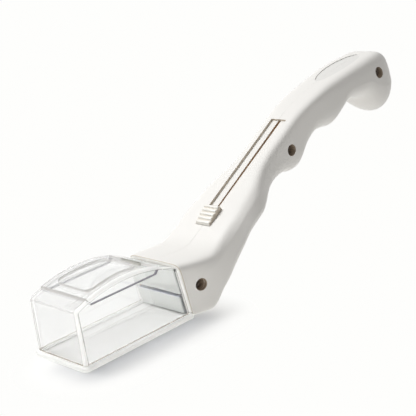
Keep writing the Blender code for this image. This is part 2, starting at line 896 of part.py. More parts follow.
def case_screws():
    """Three screws along Y: a flat head with a cross, a shank and a pointed end, turned as one profile."""
    for name, _, _, reach in screw_places():
        head = -reach + screw_sunk
        neck = head + screw_head_height
        tip = reach - handle_wall - boss_floor - fit
        profile = (
            (0, head),
            (screw_head_radius, head),
            (screw_head_radius, neck),
            (screw_shank_radius, neck),
            (screw_shank_radius, tip - screw_tip),
            (0, tip),
        )
        made = turned(f"case_screw_{name}", profile, screw_axes[name], screw_steel)
        for label, long_x, long_z in (("level", 1, 0), ("upright", 0, 1)):
            half_x = (screw_cross_length if long_x else screw_cross_width) / 2
            half_z = (screw_cross_length if long_z else screw_cross_width) / 2
            arm = box(
                f"cross_{label}_{name}",
                (-half_x, head - overrun, -half_z),
                (half_x, head + screw_cross_depth, half_z),
                screw_axes[name],
            )
            cut(made, arm)


def turned(name, profile, parent, material):
    """A profile of radius and place along Y, turned about Y with a Screw modifier."""
    mesh = bpy.data.meshes.new(name)
    points = [(radius, along, 0) for radius, along in profile]
    mesh.from_pydata(points, [(index, index + 1) for index in range(len(points) - 1)], [])
    mesh.materials.append(material)
    made = bpy.data.objects.new(name, mesh)
    made.parent = parent
    parts.objects.link(made)
    screw = made.modifiers.new("turn", "SCREW")
    screw.axis = "Y"
    screw.steps = round_steps
    screw.render_steps = round_steps
    screw.use_merge_vertices = True
    screw.merge_threshold = fit / round_steps
    return made


def thumb_button():
    """A ribbed wedge in the channel, and a stem through the slit with a barb under the door's tongue."""
    start, end = button_start, button_start + button_length
    foot = -channel_depth + fit
    ramp = np.linspace(start, end, 4 * rib_count + 1)
    outline = [(start, foot), (end, foot)]
    for index in range(4 * rib_count, -1, -1):
        share = index / (4 * rib_count)
        height = button_front_height + (button_height - button_front_height) * math.sin(share * math.pi / 2)
        outline.append((ramp[index], height + rib_height * (index % 4 in (1, 2))))
    made = prism("thumb_button", outline, -button_half_width, button_half_width, slider_axis, shell_plastic)
    barb_top = tongue_bottom - fit
    barb_half = stem_half_width + fit + barb_width
    section_points = (
        (-stem_half_width, foot + fit),
        (-stem_half_width, barb_top),
        (-barb_half, barb_top),
        (-stem_half_width, barb_top - barb_height),
        (stem_half_width, barb_top - barb_height),
        (barb_half, barb_top),
        (stem_half_width, barb_top),
        (stem_half_width, foot + fit),
    )
    shape = flat_outline("stem_block", section_points, stem_length)
    turn = Matrix(((0, 0, 1), (1, 0, 0), (0, 1, 0)))
    bmesh.ops.transform(shape, matrix=turn.to_4x4(), verts=shape.verts)
    bmesh.ops.translate(shape, vec=(button_middle, 0, 0), verts=shape.verts)
    stem = new_object("stem_block", shape, slider_axis)
    join(made, stem)


def stem_hole(name):
    """The hole for the button's stem, with its clearance, through what the stem holds together."""
    half_length = stem_length / 2 + fit
    half_width = stem_half_width + fit
    return box(
        name,
        (button_middle - half_length, -half_width, tongue_bottom - overrun),
        (button_middle + half_length, half_width, overrun),
        slider_axis,
    )


def slider_carriage():
    half = carriage_length / 2
    made = box(
        "slider_carriage",
        (button_middle - half, -carriage_half_width, carriage_bottom),
        (button_middle + half, carriage_half_width, carriage_top),
        slider_axis,
        panel_plastic,
    )
    cut(made, stem_hole("carriage_hole"))


def door_tail():
    """The straight end of the door's tongue, under the carriage."""
    made = box(
        "door_tail",
        (-bend_end_back + fit, -tongue_half_width, tongue_bottom),
        (button_middle + carriage_length / 2, tongue_half_width, tongue_top),
        slider_axis,
        door_plastic,
    )
    cut(made, stem_hole("tail_hole"))


for leftover in list(bpy.data.objects):
    bpy.data.objects.remove(leftover)
parts = new_collection("spider_catcher")
cutters = new_collection("spider_catcher_cutters")

shell_plastic = new_material("ivory shell plastic", (0.80, 0.79, 0.76), 0.42)
panel_plastic = new_material("white panel plastic", (0.78, 0.79, 0.78), 0.45)
rim_plastic = new_material("white rim plastic", (0.82, 0.82, 0.80), 0.40)
door_plastic = new_material("pale door sheet", (0.72, 0.72, 0.71), 0.35)
clear_plastic = new_material("clear plastic", (0.92, 0.94, 0.95), 0.05, alpha=0.30)
lens_plastic = new_material("clear lens plastic", (0.94, 0.96, 0.98), 0.02, alpha=0.35)
screw_steel = new_material("screw steel", (0.35, 0.33, 0.31), 0.35, metallic=1.0)

housing = new_empty("housing_origin", (-middle_x, 0, 0))
door_axis = new_empty("door_slide_axis", (0, 0, door_middle_z), housing)
slope_empty = new_empty("slope_origin", (slope_x, 0, slope_z), housing)
slope_empty.rotation_euler = (0, -slope, 0)
slider_axis = new_empty("slider_slide_axis", (0, 0, 0), slope_empty)
slope_frame = Matrix.Translation((slope_x, 0, slope_z)) @ Matrix.Rotation(-slope, 4, "Y")
screw_axes = {name: new_empty(f"screw_axis_{name}", (x, 0, z), housing) for name, x, z, _ in screw_places()}

chamber_box()
lens_cover()
magnifier_lens()
base_frame()
bulkhead()
door_guide()
door_ramp()
handle_shells()
case_screws()
door_sheet()
door_bend()
door_tail()
slider_carriage()
thumb_button()
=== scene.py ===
"""The looks of a hand-held spider catcher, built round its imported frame.

Metres, +Z up. Shapes are worked out along the catcher's own length, X = 0 at the chamber's front foot, and
surface_piece moves them to the frame, whose X = 0 is under the middle of the whole length. Pieces are numpy
grids of points: a shape is a function of two parameters, or a profile carried along a path.
"""

import math

import bmesh
import bpy
import numpy as np
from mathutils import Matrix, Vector


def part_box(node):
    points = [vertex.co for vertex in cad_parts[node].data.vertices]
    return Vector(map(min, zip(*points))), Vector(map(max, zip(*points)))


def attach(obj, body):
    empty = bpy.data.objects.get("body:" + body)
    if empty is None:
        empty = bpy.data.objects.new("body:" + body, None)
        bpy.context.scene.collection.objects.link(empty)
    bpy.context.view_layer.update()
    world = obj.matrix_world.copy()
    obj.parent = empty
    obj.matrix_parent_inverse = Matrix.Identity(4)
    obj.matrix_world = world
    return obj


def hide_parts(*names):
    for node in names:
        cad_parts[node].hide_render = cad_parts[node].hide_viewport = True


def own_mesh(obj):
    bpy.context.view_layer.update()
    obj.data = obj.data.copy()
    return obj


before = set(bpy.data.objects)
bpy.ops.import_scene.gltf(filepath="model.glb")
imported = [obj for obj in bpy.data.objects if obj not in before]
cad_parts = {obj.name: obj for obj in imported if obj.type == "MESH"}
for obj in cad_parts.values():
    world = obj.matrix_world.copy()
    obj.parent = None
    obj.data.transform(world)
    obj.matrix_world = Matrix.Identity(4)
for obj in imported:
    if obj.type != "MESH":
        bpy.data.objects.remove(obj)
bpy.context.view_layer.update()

mm = 0.001
middle_x = 151.064 * mm

# Chamber, cover and lens
chamber_length = 80.6 * mm
chamber_half_width = 22.6 * mm
chamber_wall = 1.8 * mm
chamber_draft = 0.6 * mm
front_lean = 0.6 * mm
roof_height = 42.9 * mm
roof_peak_x = 37.08 * mm
roof_rise = 8.3 * mm
seam_lean = 4.6 * mm
seam_height = roof_height - roof_rise
roof_reach = chamber_length - seam_lean - roof_peak_x
roof_radius = (roof_reach**2 + roof_rise**2) / (2 * roof_rise)
chamber_foot = 3.3 * mm
foot_edge_share = 0.6
hood_round = 1.8 * mm
hood_inner_round = 0.6 * mm
clear_bevel = 0.15 * mm
cover_front = 9.2 * mm
cover_rear = 62.1 * mm
cover_ledge_z = 35.2 * mm
cover_corner_z = 37.4 * mm
cover_corner_run = 2.6 * mm
cover_step = 0.5 * mm
cover_bulge = 0.4 * mm
cover_gap = 0.55 * mm
lens_front = 16.0 * mm
lens_rear = 54.3 * mm
lens_front_half_width = 16.0 * mm
lens_rear_half_width = 13.2 * mm
lens_corner = 6.0 * mm
lens_crown = 1.1 * mm
lens_bevel = 0.2 * mm
pull_slot_rear = 60.5 * mm
pull_slot_length = 1.4 * mm
pull_slot_half_width = 8.5 * mm
pull_slot_corner = 0.45 * pull_slot_length

# Where painted light whitens the clear plastic's corners, and how solid it is elsewhere
front_band = 3.2 * mm
front_soft = 2.2 * mm
corner_band = 2.5 * mm
corner_soft = 1.0 * mm
rear_band = 2.4 * mm
clear_alpha = 0.3

# Base frame and door
frame_rim = 1.9 * mm
frame_round = 1.1 * mm
frame_height = 3.0 * mm
frame_corner = 4.2 * mm
frame_half_width = chamber_half_width + frame_rim
frame_opening_front = 2.4 * mm
frame_opening_half_width = 19.4 * mm
frame_opening_corner = 1.2 * mm
ledge_drop = 0.2 * mm
groove_floor = 1.0 * mm
groove_height = 1.2 * mm
groove_depth = 1.4 * mm
door_front = 0.9 * mm
door_half_width = 20.5 * mm
door_middle_z = 1.6 * mm
door_thickness = 0.6 * mm
door_corner = 3.0 * mm
door_bevel = 0.12 * mm

# Handle
handle_wall = 2.2 * mm
parting_gap = 0.09 * mm
seam_chamfer = 0.3 * mm
neck_length = 37.4 * mm
neck_dip = 1.6 * mm
slope = math.radians(30.4)
slope_rate = math.tan(slope)
slope_x = chamber_length + neck_length
slope_z = 41.3 * mm
slope_length = 93.6 * mm
grip_length = 94.0 * mm
grip_rise = 23.7 * mm
grip_x = slope_x + slope_length * math.cos(slope)
grip_z = slope_z + slope_length * math.sin(slope)
grip_end_x = grip_x + grip_length
handle_end_x = grip_end_x + 11.4 * mm
dome_length = 17.0 * mm
dome_x = handle_end_x - dome_length
pole_depth = 15.8 * mm
handle_half_width = 23.2 * mm
pocket_end = 87.1 * mm
pocket_half_width = 20.8 * mm

# Clearance, how far a cutter overruns, and the blocks behind the chamber
fit = 0.3 * mm
overrun = 4.0 * mm
panel_bevel = 0.25 * mm
guide_top_drop = 3.5 * fit

# Button with its stem, channel, the slots behind the chamber, and the tongue's fixed end
button_start = 1.2 * mm
button_length = 14.0 * mm
button_half_width = 6.2 * mm
channel_half_width = 6.5 * mm
channel_depth = 1.5 * mm
channel_start = 0.9 * mm
channel_end = 92.4 * mm
slit_start_half = 0.65 * mm
slit_end_half = 1.1 * mm
slot_half_width = 0.55 * mm
slot_middle = -1.6 * mm
slot_depth = 1.6 * mm
slot_end_margin = 2.0 * mm
button_front_height = 0.9 * mm
button_swell = 1.9 * mm
button_end_round = 0.5 * mm
button_side_round = 0.6 * mm
rib_count = 5
rib_height = 0.75 * mm
rib_start_share = 0.16
rib_length_share = 0.66
rib_fullness = 2.2
groove_end_share = 0.17
groove_start_share = 0.81
stem_half_width = 0.6 * mm
stem_half_length = 4.0 * mm
barb_half_width = 1.5 * mm
barb_top = -5.0 * mm
barb_tip = -6.0 * mm
tongue_back = 19.0 * mm
tongue_drop = 4.5 * mm

zones = {
    "neck": (chamber_length, neck_length),
    "slope": (slope_x, grip_x - slope_x),
    "grip": (grip_x, grip_length),
}

# Half width along the handle: zone, share along it, share of the half width at the seam
width_shares = (
    ("neck", 0, 1), ("neck", 0.42, 1.195), ("neck", 0.9, 1.215), ("slope", 0.15, 1.245),
    ("slope", 0.375, 1.1), ("slope", 0.59, 0.728), ("slope", 0.9, 0.626), ("grip", 0.29, 0.672),
    ("grip", 0.66, 0.815), ("grip", 1, 0.857),
)

# Depth of the under line below the top line: zone, share along it, share of the seam's height
depth_shares = (
    ("neck", 0.63, 0.74), ("neck", 0.84, 0.69), ("slope", 0.075, 0.535), ("slope", 0.175, 0.445),
    ("slope", 0.275, 0.475), ("slope", 0.4, 0.565), ("slope", 0.5, 0.595), ("slope", 0.61, 0.56),
    ("slope", 0.725, 0.61), ("slope", 0.825, 0.711), ("slope", 0.925, 0.885), ("grip", 0.02, 0.965),
    ("grip", 0.106, 0.785), ("grip", 0.2, 0.695), ("grip", 0.3, 0.755), ("grip", 0.404, 0.84),
    ("grip", 0.49, 0.73), ("grip", 0.553, 0.62), ("grip", 0.64, 0.645), ("grip", 0.72, 0.7),
    ("grip", 0.79, 0.785), ("grip", 0.86, 1.03), ("grip", 0.93, 1.18), ("grip", 1, 1.265),
)
heel_share = 0.36

# How square the section is above and below its middle: zone, share along it, upper power, lower power
power_shares = (
    ("neck", 0, 9, 14), ("neck", 0.92, 9, 5.2), ("slope", 0.2, 9, 4.4), ("slope", 0.52, 7, 3.3),
    ("grip", 0.34, 5.6, 2.5), ("grip", 1, 5.6, 2),
)

# How much narrower the top is than the middle: zone, share along it, share of the half width at the seam
top_lean_shares = (
    ("neck", 0.2, 0), ("neck", 0.9, 0.26), ("slope", 0.2, 0.37), ("slope", 0.6, 0.15), ("grip", 0.15, 0.0),
    ("grip", 0.6, 0.12), ("grip", 1, 0.2),
)
lean_power = 1.25

# Top line in the grip: share along it, share of the grip's rise, slope as a share of the channel's slope
grip_top_shares = ((0.287, 0.47, 0.53), (0.606, 0.79, 0.33), (1, 1, 0.17))

# Screws: name, zone, share along it, share of the section's height from below
screw_shares = (
    ("front", "neck", 0.209, 0.554), ("middle", "slope", 0.905, 0.53), ("rear", "grip", 0.885, 0.691),
)
recess_radius = 3.8 * mm
screw_hole_radius = 1.8 * mm
boss_radius = 5.0 * mm
screw_seat_depth = 6.5 * mm
boss_floor = 2.0 * mm
boss_cap = 1.8 * mm
oval_share = 0.665
oval_half_length = 22.5 * mm
oval_half_width = 8.0 * mm
oval_depth = 0.5 * mm

# Floor: its size, the middle and reach of the rectangle of painted shadow and fill glow along X and Y, and the
# steps away from it
floor_reach = 3.0
floor_drop = 0.2 * mm
shade_along = (-109.0 * mm, 35.0 * mm)
shade_across = (-17.2 * mm, 7.2 * mm)
shade_start, shade_run = -6.0 * mm, 34.0 * mm
plain_start, plain_run = 10.0 * mm, 30.0 * mm
fill_glow_run = 165.0 * mm

# Light and camera
sky_low, sky_high = 0.05, 0.5
lamp_place, lamp_aim = (-0.402, 0.559, 0.93), (0, 0, 0.05)
lamp_size, lamp_power = 0.5, 9.8
camera_place = (-0.453695, -0.486963, 0.254662)
camera_angles = (72.3498, 8.4799, -44.0023)
camera_lens = 95.192


def place(zone, share):
    """X at a share of the way along a zone of the handle."""
    start, length = zones[zone]
    return start + share * length


def listed(rows, column=2):
    """X of each row of a list by zone and share along it, and the row's value in a column."""
    return [place(zone, along) for zone, along, *_ in rows], np.array([row[column] for row in rows])


def smooth_line(x, knots, values, slopes=None):
    """A cubic through the knots, with the slopes given or else those of the chords beside each knot."""
    knots, values = np.asarray(knots, float), np.asarray(values, float)
    slopes = np.gradient(values, knots) if slopes is None else np.asarray(slopes, float)
    x = np.clip(x, knots[0], knots[-1])
    left = np.clip(np.searchsorted(knots, x) - 1, 0, len(knots) - 2)
    run = knots[left + 1] - knots[left]
    t = (x - knots[left]) / run
    start = (1 + 2 * t) * (1 - t) ** 2 * values[left] + t * (1 - t) ** 2 * run * slopes[left]
    return start + t**2 * ((3 - 2 * t) * values[left + 1] + (t - 1) * run * slopes[left + 1])


def top_line(x):
    """The handle's top: a dip in the neck, the straight slope, and a curve that flattens along the grip."""
    knots = [chamber_length, place("neck", 0.5), slope_x, grip_x]
    values = [seam_height, seam_height - neck_dip, slope_z, grip_z]
    slopes = [-2 * neck_dip / neck_length, 0, slope_rate, slope_rate]
    for along, rise, slope_share in grip_top_shares:
        knots.append(place("grip", along))
        values.append(grip_z + rise * grip_rise)
        slopes.append(slope_share * slope_rate)
    return smooth_line(x, knots, values, slopes)


def under_line(x):
    """The handle's underside: flat under the heel, then at the listed depths below the top line."""
    knots, depths = listed(depth_shares)
    values = np.concatenate([[0.0, 0.0], top_line(knots) - depths * seam_height])
    knots = [place("neck", 0), place("neck", heel_share), *knots]
    slopes = np.gradient(values, np.array(knots))
    slopes[:2] = 0
    return smooth_line(x, knots, values, slopes)


def half_width_line(x):
    """Half the handle's width, from the listed shares of its half width at the seam."""
    knots, shares = listed(width_shares)
    return smooth_line(x, knots, shares * handle_half_width)


def steepness(line, x):
    """Length of the line for each unit of X: the root of one and the square of its rate."""
    rate = (line(x + fit) - line(x - fit)) / (2 * fit)
    return np.sqrt(1 + rate**2)


def section(x, inset=0.0):
    """Middle, half height, half width and the two powers of the handle's section at X, set in by a wall."""
    x = np.asarray(x, float)
    body_x = np.minimum(x, grip_end_x)
    top = top_line(body_x) - inset * steepness(top_line, body_x)
    under = under_line(body_x) + inset * steepness(under_line, body_x)
    turn = np.clip((x - dome_x) / (dome_length - inset), 0, 1)
    dome = np.sqrt(1 - turn**2)
    upper, lower = (np.interp(body_x, *listed(power_shares, column)) for column in (2, 3))
    pole_z = grip_z + grip_rise - pole_depth
    middle = (top + under) / 2 * dome + pole_z * (1 - dome)
    return middle, (top - under) / 2 * dome, (half_width_line(body_x) - inset) * dome, upper, lower


def top_lean(x, rise):
    """How far the side leans in at a share of the way from the middle to the top."""
    knots, shares = listed(top_lean_shares)
    return smooth_line(x, knots, shares * handle_half_width) * np.clip(rise, 0, 1) ** lean_power


def surface_top(x, y):
    """Height of the handle's upper surface at X and Y, from the superellipse of its section."""
    middle, half, width, upper, _ = section(x)
    return middle + half * (1 - np.minimum(np.abs(y) / width, 1) ** upper) ** (1 / upper)


def surface_side(x, z):
    """Half width of the handle's surface at X and height Z, from the superellipse of its section."""
    middle, half, width, upper, lower = section(x)
    power = np.where(z > middle, upper, lower)
    reach = (1 - np.minimum(np.abs(z - middle) / half, 1) ** power) ** (1 / power)
    return (width - top_lean(x, (z - middle) / half)) * reach


def roof_z(x, drop=0.0):
    """Height of the chamber's arched roof: a circle's arc through its peak and its two ends."""
    return roof_height - roof_radius + np.sqrt((roof_radius - drop) ** 2 - (x - roof_peak_x) ** 2)


def seam_x(z):
    """X of the leaning plane in which chamber and handle meet."""
    return chamber_length - seam_lean * z / seam_height


def grid_faces(rows, columns, start=0, flip=False):
    """Four-sided faces between neighbours of a grid whose points are numbered row by row."""
    index = start + np.arange(rows * columns).reshape(rows, columns)
    corners = (index[:-1, :-1], index[:-1, 1:], index[1:, 1:], index[1:, :-1])
    faces = np.stack(corners, axis=-1).reshape(-1, 4)
    return faces[:, ::-1] if flip else faces


def linked(name, data):
    """A new object in the scene."""
    made = bpy.data.objects.new(name, data)
    bpy.context.scene.collection.objects.link(made)
    return made


def surface_piece(name, points, faces, material=None, merge=0.0):
    """An object from points in the catcher's own lengths, moved to the frame, with its doubles merged."""
    points = np.asarray(points, float).reshape(-1, 3) - (middle_x, 0, 0)
    mesh = bpy.data.meshes.new(name)
    mesh.from_pydata(points.tolist(), [], [list(map(int, face)) for face in faces])
    if material:
        mesh.materials.append(material)
    shape = bmesh.new()
    shape.from_mesh(mesh)
    if merge:
        bmesh.ops.remove_doubles(shape, verts=shape.verts, dist=merge)
    bmesh.ops.recalc_face_normals(shape, faces=shape.faces)
    shape.to_mesh(mesh)
    shape.free()
    return linked(name, mesh)


def between(name, outer, inner, materials):
    """A wall between two grids of the same size, closed round its four edges. The first material is on the
    outer grid, the second on the inner one, and the third on the outer grid's first row."""
    rows, columns = outer.shape[:2]
    count = rows * columns
    index = np.arange(count).reshape(rows, columns)
    edge = np.concatenate([index[0], index[1:, -1], index[-1, -2::-1], index[-2:0:-1, 0]])
    following = np.roll(edge, -1)
    rim = np.stack([following, edge, edge + count, following + count], axis=-1)
    faces = np.concatenate([grid_faces(rows, columns), grid_faces(rows, columns, count, True), rim])
    points = np.concatenate([outer.reshape(-1, 3), inner.reshape(-1, 3)])
    made = surface_piece(name, points, faces)
    sheet = (rows - 1) * (columns - 1)
    chosen = np.zeros(len(faces), int)
    chosen[sheet : 2 * sheet] = 1
    chosen[: columns - 1] = 2
    for material in materials:
        made.data.materials.append(material)
    made.data.polygons.foreach_set("material_index", chosen)
    return made


def carve(target, operation, *others):
    """Applies a Boolean with each of the others, which leave their material on the cut and are removed."""
    for other in others:
        modifier = target.modifiers.new(other.name, "BOOLEAN")
        modifier.operation = operation
        modifier.object = other
        modifier.solver = "EXACT"
        modifier.material_mode = "TRANSFER"
        bpy.context.view_layer.update()
        graph = bpy.context.evaluated_depsgraph_get()
        mesh = bpy.data.meshes.new_from_object(target.evaluated_get(graph))
        target.modifiers.clear()
        target.data = mesh
        bpy.data.objects.remove(other)


def rounded(corners, radius, steps=8):
    """An outline with each corner replaced by an arc that starts and ends the same way from it."""
    corners = np.array(corners, float)
    back = np.roll(corners, 1, axis=0) - corners
    forth = np.roll(corners, -1, axis=0) - corners
    back /= np.linalg.norm(back, axis=1, keepdims=True)
    forth /= np.linalg.norm(forth, axis=1, keepdims=True)
    t = np.linspace(0, 1, steps)[None, :, None]
    pull = (1 - t) ** 2 * back[:, None] + t**2 * forth[:, None]
    return (corners[:, None] + radius * pull).reshape(-1, 2)


def oblong(front, rear, low, high):
    """The corners of an oblong, from front to rear in X and from low to high across it."""
    return ((front, low), (rear, low), (rear, high), (front, high))


def swept(name, points, material=None):
    """A closed solid from two rows of points along the same outline, with both ends capped."""
    count = points.shape[1]
    index = np.arange(count)
    following = np.roll(index, -1)
    sides = np.stack([index, following, following + count, index + count], axis=-1)
    faces = [*sides.tolist(), index.tolist(), (index[::-1] + count).tolist()]
    return surface_piece(name, points, faces, material)


def prism(name, outline, low, high, across="Y", material=None):
    """A flat outline carried along an axis: an X-Z outline from low to high in Y, or an X-Y one in Z."""
    first, second = np.asarray(outline, float).T
    ends = np.array([[low], [high]])
    axes = (first, ends, second) if across == "Y" else (first, second, ends)
    return swept(name, np.stack(np.broadcast_arrays(*axes), axis=-1), material)


def two_faced(name, outline, rings, top, bottom, material=None):
    """A closed disc of the outline in rings about its middle. X, Y and the share of the way out from the
    middle give the height of its top and of its bottom."""
    centre = (outline.min(axis=0) + outline.max(axis=0)) / 2
    share = np.linspace(0, 1, rings)[:, None]
    flat = centre + (np.concatenate([outline, outline[:1]])[None] - centre) * share[..., None]
    sheets = [np.dstack([flat, height(flat[..., 0], flat[..., 1], share)]) for height in (top, bottom)]
    grid = np.concatenate([sheets[0], sheets[1][::-1]])
    return surface_piece(name, grid, grid_faces(2 * rings, len(outline) + 1), material, merge=mm / 1000)


def slope_points(along, y, out):
    """Points from their run along the slope, their Y and their height over it."""
    x = slope_x + along * math.cos(slope) - out * math.sin(slope)
    z = slope_z + along * math.sin(slope) + out * math.cos(slope)
    return np.stack(np.broadcast_arrays(x, y, z), axis=-1)


def turned_across(name, profile, x, z, material=None, steps=48):
    """A profile of radius and Y turned about the line through X and Z that runs along Y."""
    radius, y = (np.array(column, float)[:, None] for column in zip(*profile))
    turn = np.linspace(0, 2 * math.pi, steps + 1)[None, :]
    points = np.stack(np.broadcast_arrays(x + radius * np.cos(turn), y, z + radius * np.sin(turn)), axis=-1)
    return surface_piece(name, points, grid_faces(len(profile), steps + 1), material, merge=mm / 1000)


def finish_piece(piece, nodes, body, smooth=35, bevel=0.0, segments=3):
    """Gives a piece smooth shading, round edges and its body, and hides the nodes that it stands for."""
    piece.data.shade_smooth()
    piece.data.set_sharp_from_angle(angle=math.radians(smooth))
    if bevel:
        modifier = piece.modifiers.new("round edges", "BEVEL")
        modifier.width = bevel
        modifier.segments = segments
        modifier.limit_method = "ANGLE"
        modifier.angle_limit = math.radians(smooth)
        modifier.use_clamp_overlap = True
    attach(piece, body)
    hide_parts(*nodes)
    return piece


def shell_stations(inset):
    """X of each ring of a skin. The dome's last ones crowd towards the pole as a sine does."""
    turns = np.linspace(0, 0.985 * math.pi / 2, 20)
    return np.concatenate([
        [chamber_length],
        np.linspace(chamber_length + seam_chamfer, slope_x, 48, endpoint=False),
        np.linspace(slope_x, grip_x, 96, endpoint=False),
        np.linspace(grip_x, dome_x, 84, endpoint=False),
        dome_x + (dome_length - inset) * np.sin(turns),
    ])


def half_skin(inset, side, ring=44):
    """Half a skin: superellipse rings from the under line round to the top line, leaning at the seam. Its first
    ring is set in by the chamfer, and the gap between the halves narrows along the grip."""
    x = shell_stations(inset)[:, None]
    turn = np.linspace(-math.pi / 2, math.pi / 2, ring)[None, :]
    gap = parting_gap * np.interp(x, (place("slope", 0.9), place("grip", 0.1)), (1, 0.4))
    first = x == chamber_length
    middle, half, width, upper, lower = section(x, np.where(first, max(inset, seam_chamfer), inset))
    power = np.where(turn < 0, lower, upper)
    reach = np.abs(np.cos(turn)) ** (2 / power)
    reach[:, (0, -1)] = 0
    rise = np.sign(turn) * np.abs(np.sin(turn)) ** (2 / power)
    dome = np.minimum(width / (half_width_line(np.minimum(x, grip_end_x)) - inset), 1)
    y = side * (gap + (width - top_lean(x, rise) * dome - gap) * reach)
    z = middle + half * rise
    fade = np.clip(1 - (x - chamber_length) / (heel_share * neck_length), 0, 1)
    x = x + fit / 2 * first - seam_lean * z / seam_height * fade
    return np.stack([x + 0 * y, y, z], axis=-1)


def screw_places():
    """Name, X, Z and the handle's half width at each screw."""
    for name, zone, along, height in screw_shares:
        x = place(zone, along)
        low, high = float(under_line(x)), float(top_line(x))
        z = low + height * (high - low)
        yield name, x, z, float(surface_side(x, z))


def oval_cutter():
    """The shallow oval on the grip, whose floor follows the handle's surface at its depth."""
    turns = np.linspace(0, 2 * math.pi, 96, endpoint=False)
    x, y = place("grip", oval_share) + oval_half_length * np.cos(turns), oval_half_width * np.sin(turns)
    return two_faced(
        "oval_cut",
        np.stack([x, y], axis=-1),
        8,
        lambda x, y, share: surface_top(x, y) + overrun,
        lambda x, y, share: surface_top(x, y) - oval_depth,
        oval_shade,
    )


def channel_cutter():
    """The thumb channel and its slit as one T-shaped profile carried along the slope. Its floor is white."""
    wide, floor, foot = channel_half_width, -channel_depth, -handle_wall - overrun
    across = [(-wide, -wide, -slit, -slit, slit, slit, wide, wide) for slit in (slit_start_half, slit_end_half)]
    out = np.array([overrun, floor, floor, foot, foot, floor, floor, overrun])
    ends = np.array([[channel_start], [channel_end]])
    made = swept("channel_cut", slope_points(ends, np.array(across), out), channel_shade)
    made.data.materials.append(shell_white)
    for face in made.data.polygons:
        is_sunk = face.center.z < top_line(face.center.x + middle_x)
        face.material_index = int(abs(face.normal.z) > 0.8 and is_sunk)
    return made


def handle_shell(name, side):
    """One handle shell: two skins, screw bosses, and cuts for screws, channel, oval and door."""
    # Painted light and shade: the inner skin glows warm, and the chamfered first ring at the seam takes the
    # brown channel shade as a painted seam line.
    materials = (shell_white, shell_inside, channel_shade)
    made = between(name, half_skin(0.0, side), half_skin(handle_wall, side), materials)
    for label, x, z, reach in screw_places():
        face, cap = side * parting_gap, side * (reach - boss_cap)
        profile = ((0, face), (boss_radius, face), (boss_radius, cap), (0, cap))
        carve(made, "UNION", turned_across(f"boss_{label}", profile, x, z))
        seat = reach - screw_seat_depth
        if side < 0:
            profile = ((0, -reach - overrun), (recess_radius, -reach - overrun), (recess_radius, -seat),
                       (screw_hole_radius, -seat), (screw_hole_radius, overrun), (0, overrun))
        else:
            blind = reach - handle_wall - boss_floor
            profile = ((0, -overrun), (screw_hole_radius, -overrun), (screw_hole_radius, blind), (0, blind))
        carve(made, "DIFFERENCE", turned_across(f"hole_{label}", profile, x, z, recess_shade))
    outline = oblong(chamber_length - overrun, pocket_end, groove_floor, groove_floor + 2 * groove_height)
    pocket = prism("pocket", outline, -pocket_half_width, pocket_half_width)
    carve(made, "DIFFERENCE", channel_cutter(), oval_cutter(), pocket)
    finish_piece(made, [name.replace("_moulding", "")], "housing")
    made.modifiers.new("even normals", "WEIGHTED_NORMAL").keep_sharp = True


def spaced(low, high, round_low, round_high, flat, turn=5):
    """Places from low to high with extra ones where the edges are round."""
    first = np.linspace(low, low + round_low, turn, endpoint=False) if round_low else []
    last = np.linspace(high - round_high, high, turn + 1)[1:] if round_high else []
    return np.concatenate([first, np.linspace(low + round_low, high - round_high, flat), last])


def hood_points(points, inset, bulge, radius):
    """Puts points of a plain box on the chamber's hood. A point is drawn to the box shrunk by the radius and
    pushed out again by the radius, which rounds the edges; then the roof's arch, the front's lean and the
    sides' draft are added."""
    x, y, z = points[..., 0], points[..., 1], points[..., 2]
    half = chamber_half_width - inset + bulge
    core = np.stack([
        np.maximum(x, inset - bulge + radius),
        np.clip(y, -half + radius, half - radius),
        np.minimum(z, seam_height - radius),
    ], axis=-1)
    away = points - core
    length = np.linalg.norm(away, axis=-1, keepdims=True)
    round_points = core + radius * away / np.maximum(length, mm * mm)
    x, y, z = round_points[..., 0], round_points[..., 1], round_points[..., 2]
    up = np.clip((z - chamber_foot) / (seam_height - chamber_foot), 0, 1)
    arch = roof_z(np.clip(x, 0, chamber_length), inset) + bulge
    z = np.where(z > chamber_foot, chamber_foot + up * (arch - chamber_foot), z)
    x = np.where(x < chamber_length / 2, x + front_lean * up * (1 - x / (chamber_length / 2)), x)
    y = y * (1 - chamber_draft / chamber_half_width * np.clip(z / seam_height, 0, 1.2))
    return np.stack([x, y, z], axis=-1)


def hood_grids(inset, bulge, radius):
    """The hood as two grids on its box: a sleeve round sides and roof from the leaning rear, and the front."""
    half = chamber_half_width - inset + bulge
    front, foot, top = inset - bulge, chamber_foot, seam_height
    across = spaced(-half, half, radius, radius, 12)
    up = spaced(foot, top, 0, radius, 10)
    along = spaced(front, chamber_length, radius, 0, 40)[::-1]
    ring_y = np.concatenate([np.full(len(up), -half), across[1:-1], np.full(len(up), half)])
    ring_z = np.concatenate([up, np.full(len(across) - 2, top), up[::-1]])
    sleeve = np.stack(np.broadcast_arrays(along[:, None], ring_y[None], ring_z[None]), axis=-1)
    face = np.stack(np.broadcast_arrays(front, across[None], up[::-1][:, None]), axis=-1)
    sleeve, face = (hood_points(grid, inset, bulge, radius) for grid in (sleeve, face))
    share = np.clip(sleeve[..., 0] / chamber_length, 0, 1) ** 4
    sleeve[..., 0] += share * (seam_x(sleeve[..., 2]) - fit / 2 - chamber_length)
    return sleeve, face


